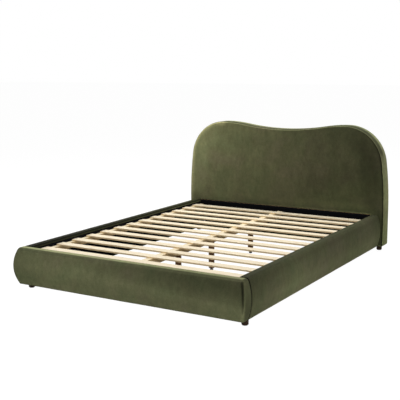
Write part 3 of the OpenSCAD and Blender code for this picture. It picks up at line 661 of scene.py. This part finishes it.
# Darker painted shade on the sides of the beam, ledgers and leg blocks
pine_y = wood_material("pine_along", 1, (0.80, 0.69, 0.48), (0.46, 0.26, 0.11), sawn_tint_and_shade=(0.95, 0.81, 0.60))
pine_z = wood_material("pine_upright", 2, (0.82, 0.70, 0.50), (0.46, 0.26, 0.11))
dark_wood = stained_wood_material("dark_stained_wood", (0.040, 0.023, 0.012), (0.012, 0.007, 0.004))
brown_wood = stained_wood_material("brown_stained_wood", (0.22, 0.112, 0.056), (0.08, 0.038, 0.018))
ply = ply_material()
plastic = plastic_material()
steel = steel_material()
coated_steel = coated_steel_material()


# Upholstery

def put_on(obj, material):
    obj.data.materials.clear()
    obj.data.materials.append(material)


def finish_piece(obj, material):
    put_on(obj, material)
    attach(obj, "frame")


def soften(verts, seed, amount, keep):
    """Moves points by about an amount, in waves of several lengths, as padding under cloth is never quite
    even. keep gives a point's share."""
    out = []
    for x, y, z in verts:
        p, share = (x, y, z), keep(x, y, z)
        d = amount * share * (wobble(p, 170, seed) + 0.5 * wobble(p, 60, seed + 4))
        e = amount * share * (wobble(p, 150, seed + 9) + 0.5 * wobble(p, 70, seed + 13))
        out.append((x + d, y + e, z + 0.6 * share * amount * wobble(p, 160, seed + 17)))
    return out


def make_rail(side):
    """A side rail's upholstery: one long section with its ends rolled in at the seams."""
    name = "left" if side < 0 else "right"
    y0, y1 = Y_IN + FIT, Y_HEAD - FIT
    roll = [(y0 + SEAM_R * (1 - math.cos(a)), SEAM_R * (1 - math.sin(a))) for a in quarter(5)]
    n = 150
    middle = [(y0 + SEAM_R + (y1 - y0 - 2 * SEAM_R) * k / n, 0.0) for k in range(1, n)]
    stations = roll + middle + [(y0 + y1 - y, i) for y, i in reversed(roll)]
    verts, faces = loft([[(side * (X_IN + x), y, z) for x, z in rail_section(i)] for y, i in stations])

    def keep(x, y, z):
        """The inner face stays still for the lining, and the ends for the seams."""
        if abs(x) < X_IN + SEAM_R:
            return 0.0
        return smooth(min(y - y0, y1 - y) / FADE)
    obj = outward(make(name + "_rail_upholstery", soften(verts, 3 + side, 0.8, keep), faces))
    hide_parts(name + "_rail_foam", name + "_rail_cover")
    finish_piece(obj, velvet[name])


def make_footboard():
    """The footboard's upholstery: rings from the recess of its lining, round its edge, to the front."""
    rings = [at_y(foot_window(), Y_IN - RECESS), at_y(foot_window(), Y_IN)]
    for a in quarter(8):
        inset = SEAM_R * (1 - math.sin(a))
        lower = INNER_R * (1 - math.sin(a)) - inset
        rings.append(at_y(foot_outline(inset, max(lower, 0)), Y_IN - INNER_R * (1 - math.cos(a))))
    for a in quarter(10):
        # The bottom edge rises by its own smaller radius
        j = CORNER_R * (1 - math.cos(a))
        ring = foot_outline(j, 0, -j * (1 - BOTTOM_R / CORNER_R))
        y = Y_FOOT + CORNER_R * (1 - math.sin(a))
        rings.append([(x, y - foot_swell(z), z) for x, z in ring])
    front_insets = (0.26, 0.32, 0.4, 0.5, 0.6, 0.7, 0.8, 0.88, 0.94)
    for share in front_insets:
        ring = foot_outline(share * RAIL_H / 2)
        rings.append([(x, Y_FOOT - foot_swell(z), z) for x, z in ring])
    verts, faces = loft(rings)

    def keep(x, y, z):
        """The side toward the rails stays still."""
        return smooth((Y_IN - y - 2) / FADE)
    obj = outward(make("footboard_upholstery", soften(verts, 1, 1.0, keep), faces))
    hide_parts("footboard_foam", "footboard_cover")
    finish_piece(obj, velvet["foot"])


def headboard_rings():
    """Rings round the headboard's edge, from the recess of the back's lining to the edge of the front."""
    window = head_outline(BACK_TURN, RAIL_LIFT + BACK_TURN)
    rings = [at_y(window, Y_BACK - RECESS), at_y(window, Y_BACK)]
    for a in reversed(quarter(4)):
        i = BACK_R * (1 - math.cos(a))
        rings.append(at_y(head_outline(i, RAIL_LIFT + i), Y_BACK - BACK_R * (1 - math.sin(a))))
    depth, depth_n = HEAD_T - BACK_R - HEAD_EDGE_R, 6
    for k in range(1, depth_n):
        rings.append(at_y(head_outline(0, RAIL_LIFT), Y_BACK - BACK_R - depth * k / depth_n))
    for a in quarter(12):
        i = HEAD_EDGE_R * (1 - math.cos(a))
        rings.append(at_y(head_outline(i, RAIL_LIFT + i), Y_HEAD + HEAD_EDGE_R * (1 - math.sin(a))))
    return rings


def strip_loops(first):
    """Lines round the opening of the lining strip, each wider than the one before, and their edges, with
    the points numbered from first. All have their bottom on one line, so the first alone has an edge
    there."""
    top_n, side_n = 90, 16
    points, edges = [], []
    for off in (0, 1.2, 3.2, 6, LIP_R):
        x, z0, z1 = X_IN + off, STRIP_BOTTOM, RAIL_TOP + off
        loop = [(-x + 2 * x * k / top_n, z1) for k in range(top_n + 1)]
        loop += [(x, z1 + (z0 - z1) * k / side_n) for k in range(1, side_n + 1)]
        loop += [(-x, z0 + (z1 - z0) * k / side_n) for k in range(side_n)]
        base, n = first + len(points), len(loop)
        edges += [(base + k, base + (k + 1) % n) for k in range(n) if off == 0 or k != top_n + side_n]
        points += loop
    return points, edges


def front_grid(edge):
    """Points of a grid of triangles over the headboard's front, clear of its edge and of the opening."""
    step, row_share = 13.0, 0.866
    grid = []
    for r in range(int(HEAD_H / (step * row_share)) + 1):
        z = RAIL_LIFT + r * step * row_share
        grid += [(-X_HEAD + (c + 0.5 * (r % 2)) * step, z) for c in range(int(2 * X_HEAD / step) + 2)]
    grid = np.array(grid)
    grid = grid[inside_line(grid, edge)]
    grid = grid[near_line(grid, edge) > step * 0.6]
    clear = LIP_R + 5
    return grid[(np.abs(grid[:, 0]) > X_IN + clear) | (grid[:, 1] > RAIL_TOP + clear)]


def make_headboard():
    """The headboard's upholstery: rings round its edge, and a crowned front of many small triangles."""
    rings = headboard_rings()
    verts, faces = loft(rings, cap_last=False)
    n = len(rings[-1])
    last_ring = (len(rings) - 1) * n
    edge = np.array([(x, z) for x, _, z in rings[-1]])
    opening, opening_edges = strip_loops(n)
    flat = [tuple(p) for p in edge] + opening + [tuple(p) for p in front_grid(edge)]
    points, triangles, sources = triangulate(flat, [(k, (k + 1) % n) for k in range(n)] + opening_edges)
    from_edge = near_line(points, edge)
    lip = np.maximum(np.maximum(np.abs(points[:, 0]) - X_IN, points[:, 1] - RAIL_TOP), 0)
    flat_rim, edge_fade, lip_fade = 4, 150, 90
    index = []
    for k, (x, z) in enumerate(points):
        on_ring = [s for s in sources[k] if s < n]
        if on_ring:
            index.append(last_ring + on_ring[0])
            continue
        crown = HEAD_CROWN * smooth((from_edge[k] - flat_rim) / edge_fade) * smooth(lip[k] / lip_fade)
        y = Y_HEAD - crown
        if lip[k] < LIP_R:
            y += LIP_R - math.sqrt(LIP_R ** 2 - (LIP_R - lip[k]) ** 2)
        index.append(len(verts))
        verts.append((x, y, z))
    for triangle in triangles:
        x, z = points[list(triangle)].mean(0)
        if not (abs(x) < X_IN and STRIP_BOTTOM < z < RAIL_TOP):
            faces.append(tuple(index[v] for v in triangle))

    def keep(x, y, z):
        """The back stays still, and the front where the rails and the lining strip meet it."""
        if y > Y_BACK - 12:
            return 0.0
        if z < RAIL_TOP + FADE and abs(x) < HALF_W + 10:
            return smooth((z - RAIL_TOP) / FADE)
        return 1.0
    obj = outward(make("headboard_upholstery", soften(verts, 2, 1.1, keep), faces))
    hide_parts("headboard_foam", "headboard_cover")
    finish_piece(obj, velvet["head"])


make_rail(-1)
make_rail(1)
make_footboard()
make_headboard()


# Linings: thin cloth stretched over the openings

# Step of a sheet's points, its thickness, the gap round it, and how deep it lies in its recess
SHEET_STEP, SHEET_T, SHEET_GAP, SHEET_DEPTH = 26.0, 0.9, 0.6, 0.8


def lay_sheet(name, outline, place, node_name, flat, seed):
    """A thin stretched cloth. outline is a closed line in two axes, and place(u, v, w) the point in
    millimetres of a place on it and its depth. The outline is filled with small triangles. flat, the width
    and height of the cloth laid flat in metres, is not used."""
    edge = np.array(outline)
    low, high = edge.min(0), edge.max(0)
    us = np.arange(low[0] + SHEET_STEP / 2, high[0], SHEET_STEP)
    vs = np.arange(low[1] + SHEET_STEP / 2, high[1], SHEET_STEP)
    grid = np.array([(u, v) for u in us for v in vs])
    grid = grid[inside_line(grid, edge)]
    grid = grid[near_line(grid, edge) > SHEET_STEP * 0.45]
    n = len(edge)
    points, triangles, _ = triangulate([*edge, *grid], [(k, (k + 1) % n) for k in range(n)])
    ripple, ripple_fade = 0.25, 40
    verts = []
    for (u, v), d in zip(points, near_line(points, edge)):
        waves = wobble((u, v, 0), 120, seed) + 0.6 * wobble((u, v, 0), 45, seed + 3)
        verts.append(place(u, v, ripple * smooth(d / ripple_fade) * waves))
    obj = make(name, verts, [tuple(t) for t in triangles])
    solid = obj.modifiers.new("thickness", "SOLIDIFY")
    solid.thickness = SHEET_T * MM
    solid.offset = 0
    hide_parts(node_name)
    finish_piece(obj, lining)


def rectangle(u0, u1, v0, v1):
    """Outline of a rectangle, with points a sheet's step apart."""
    corners = [(u0, v0), (u1, v0), (u1, v1), (u0, v1)]
    out = []
    for p, q in zip(corners, corners[1:] + corners[:1]):
        count = max(int(math.dist(p, q) / SHEET_STEP), 1)
        out += [p] + along(p, q, count - 1)
    return out


def extent(outline):
    """Width and height of an outline, in metres."""
    us, vs = zip(*outline)
    return (max(us) - min(us)) * MM, (max(vs) - min(vs)) * MM


for side, name in ((-1, "left"), (1, "right")):
    lay_sheet(name + "_rail_lining_cloth",
              rectangle(Y_IN + 1, Y_HEAD - 1, LINING_BOTTOM + SHEET_GAP, LINING_TOP - SHEET_GAP),
              lambda u, v, w, s=side: (s * (X_IN + SHEET_DEPTH + w), u, v), name + "_rail_lining",
              ((Y_HEAD - Y_IN - 2) * MM, (LINING_TOP - LINING_BOTTOM - 2 * SHEET_GAP) * MM), seed=5 + side)
lay_sheet("headboard_front_lining_cloth",
          rectangle(-X_IN + SHEET_GAP, X_IN - SHEET_GAP, STRIP_BOTTOM + SHEET_GAP, RAIL_TOP - SHEET_GAP),
          lambda u, v, w: (u, Y_HEAD + SHEET_DEPTH + w, v), "headboard_front_lining",
          (2 * (X_IN - SHEET_GAP) * MM, (RAIL_TOP - STRIP_BOTTOM - 2 * SHEET_GAP) * MM), seed=8)
shape = foot_window(SHEET_GAP)
lay_sheet("footboard_lining_cloth", shape, lambda u, v, w: (u, Y_IN - SHEET_DEPTH + w, v),
          "footboard_lining", extent(shape), seed=9)
shape = head_outline(BACK_TURN + SHEET_GAP, RAIL_LIFT + BACK_TURN + SHEET_GAP)
lay_sheet("headboard_back_lining_cloth", shape, lambda u, v, w: (u, Y_BACK - SHEET_DEPTH + w, v),
          "headboard_back_lining", extent(shape), seed=10)


# Wood, metal and plastic parts from the CAD model

def dress(material, names, bevel=0.0):
    """Gives CAD nodes their material, and worn edges of a width in metres."""
    for name in names:
        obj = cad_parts[name]
        put_on(obj, material)
        if bevel:
            worn = obj.modifiers.new("worn_edges", "BEVEL")
            worn.width = bevel
            worn.segments = 2
            worn.limit_method = "ANGLE"
            worn.angle_limit = math.radians(50)


dress(pine_x, [f"slat_{k}" for k in range(1, SLAT_N + 1)], 0.0012)
dress(pine_y, ("left_slat_ledger", "right_slat_ledger", "centre_beam", "leg_blocks"), 0.001)
dress(pine_z, ("headboard_left_stile", "headboard_right_stile", "headboard_centre_post"))
dress(pine_x, ("headboard_bottom_rail", "headboard_top_rail"))
dress(ply, ("headboard_panel", "headboard_spacer_board", "left_rail_board", "right_rail_board",
            "footboard_board"))
dress(dark_wood, ("front_left_leg", "front_right_leg", "head_left_leg", "head_right_leg"))
dress(brown_wood, ("centre_leg_1", "centre_leg_2", "centre_leg_3"))
dress(plastic, ("levelling_foot_1", "levelling_foot_2", "levelling_foot_3", "leg_glides"))
dress(coated_steel, ("corner_brackets", "beam_hangers"))
dress(steel, ("bracket_bolts", "leg_inserts", "leg_studs", "wood_screws"))


# Stage: a pale floor that keeps the object's shadow, and a plain white surrounding

def show_directly(tree, out, lit, shown):
    """Shows one shader to the camera, and through gloss and glass, while another one meets the light."""
    seen = tree.nodes.new("ShaderNodeLightPath").outputs
    direct = maths(tree, "MAXIMUM", seen["Is Camera Ray"], seen["Is Glossy Ray"])
    direct = maths(tree, "MAXIMUM", direct, seen["Is Transmission Ray"])
    chosen = tree.nodes.new("ShaderNodeMixShader")
    for socket, value in zip(chosen.inputs, (direct, lit, shown)):
        tree.links.new(value, socket)
    tree.links.new(chosen.outputs[0], out.inputs[0])


def make_stage():
    size = 40.0
    corners = [(-size, -size, 0), (size, -size, 0), (size, size, 0), (-size, size, 0)]
    mesh = bpy.data.meshes.new("floor")
    mesh.from_pydata(corners, [], [(0, 1, 2, 3)])
    floor = add_object("floor", mesh)
    mat = bpy.data.materials.new("pale_floor")
    tree, out = empty_tree(mat, "ShaderNodeOutputMaterial")
    matt = node(tree, "ShaderNodeBsdfDiffuse", Color=(0.10, 0.10, 0.10, 1))
    pale = node(tree, "ShaderNodeBsdfDiffuse", Color=(0.09, 0.09, 0.09, 1))
    glow = node(tree, "ShaderNodeEmission", Color=(1, 1, 1, 1), Strength=0.985)
    both = tree.nodes.new("ShaderNodeAddShader")
    tree.links.new(pale.outputs[0], both.inputs[0])
    tree.links.new(glow.outputs[0], both.inputs[1])
    show_directly(tree, out, matt.outputs[0], both.outputs[0])
    mesh.materials.append(mat)


def make_world():
    world = bpy.data.worlds.new("studio")
    bpy.context.scene.world = world
    tree, out = empty_tree(world, "ShaderNodeOutputWorld")
    soft = node(tree, "ShaderNodeBackground", Color=(1, 1, 1, 1), Strength=0.01)
    white = node(tree, "ShaderNodeBackground", Color=(1, 1, 1, 1), Strength=1.0)
    show_directly(tree, out, soft.outputs[0], white.outputs[0])


def make_lamp(name, place, aim, size, power):
    """An area lamp that faces a point, with its power in watts."""
    data = bpy.data.lights.new(name, "AREA")
    data.shape = "RECTANGLE"
    data.size, data.size_y = size
    data.energy = power
    obj = add_object(name, data)
    turn = (Vector(aim) - Vector(place)).to_track_quat("-Z", "Y")
    obj.matrix_world = Matrix.Translation(place) @ turn.to_matrix().to_4x4()


make_stage()
make_world()
make_lamp("top", place=(-0.2, 1.1, 4.2), aim=(0, 0.5, 0), size=(3.0, 3.0), power=190)
make_lamp("key", place=(3.7, -4.9, 2.7), aim=(0, 0, 0.25), size=(1.4, 1.4), power=92)
make_lamp("low", place=(3.9, -4.8, 1.2), aim=(0, 0, 0.25), size=(1.2, 0.6), power=50)
make_lamp("front", place=(0.5, -5.5, 2.6), aim=(0, 0, 0.3), size=(2.6, 2.6), power=26)
make_lamp("left", place=(-2.6, -1.1, 2.6), aim=(-0.3, 1.0, 0.5), size=(1.6, 1.6), power=34)
make_lamp("rim", place=(-4.0, 2.2, 1.7), aim=(-0.8, 0.5, 0.4), size=(1.2, 1.2), power=32)

bpy.context.scene.view_settings.view_transform = "Standard"

bpy.context.view_layer.update()
